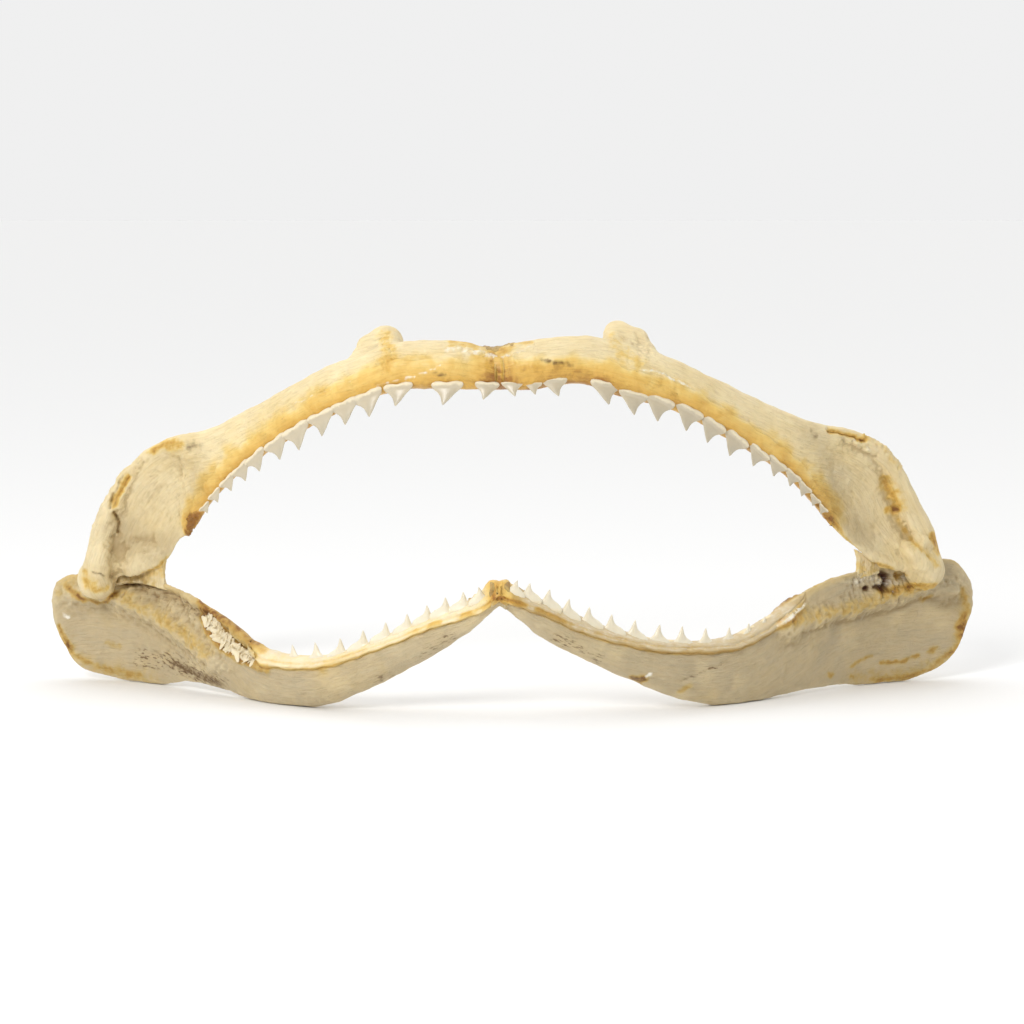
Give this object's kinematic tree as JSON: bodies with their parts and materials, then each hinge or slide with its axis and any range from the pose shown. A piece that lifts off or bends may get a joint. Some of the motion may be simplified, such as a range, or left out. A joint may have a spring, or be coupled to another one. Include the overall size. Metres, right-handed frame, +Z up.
{
  "type": "shark jaw",
  "caption": "Dried silky shark jaw, spread open and standing on its lower edge, with notched upper teeth and slender lower teeth.",
  "frame": {"origin": "bottom centre of the bounding box, on the floor it stands on", "axes": "+X towards the shark's left jaw joint, across the jaw's width; -Y out of the mouth, the way the teeth face; +Z up, from the lower jaw to the upper jaw"},
  "size_m": [0.2916, 0.0904, 0.1162],
  "materials": {
    "cartilage": "dried, dull ivory with amber stains",
    "gum": "dried amber gum that carries glossy off-white teeth",
    "ligament": "dried dark amber skin"
  },
  "bodies": {
    "root": {"upper_jaw_right": "cartilage", "upper_jaw_left": "cartilage", "lower_jaw_right": "cartilage", "lower_jaw_left": "cartilage", "upper_teeth_right": "gum", "upper_teeth_left": "gum", "lower_teeth_right": "gum", "lower_teeth_left": "gum", "upper_symphysis": "ligament", "lower_symphysis": "ligament", "mouth_corner_right": "ligament", "mouth_corner_left": "ligament"}
  },
  "joints": []
}
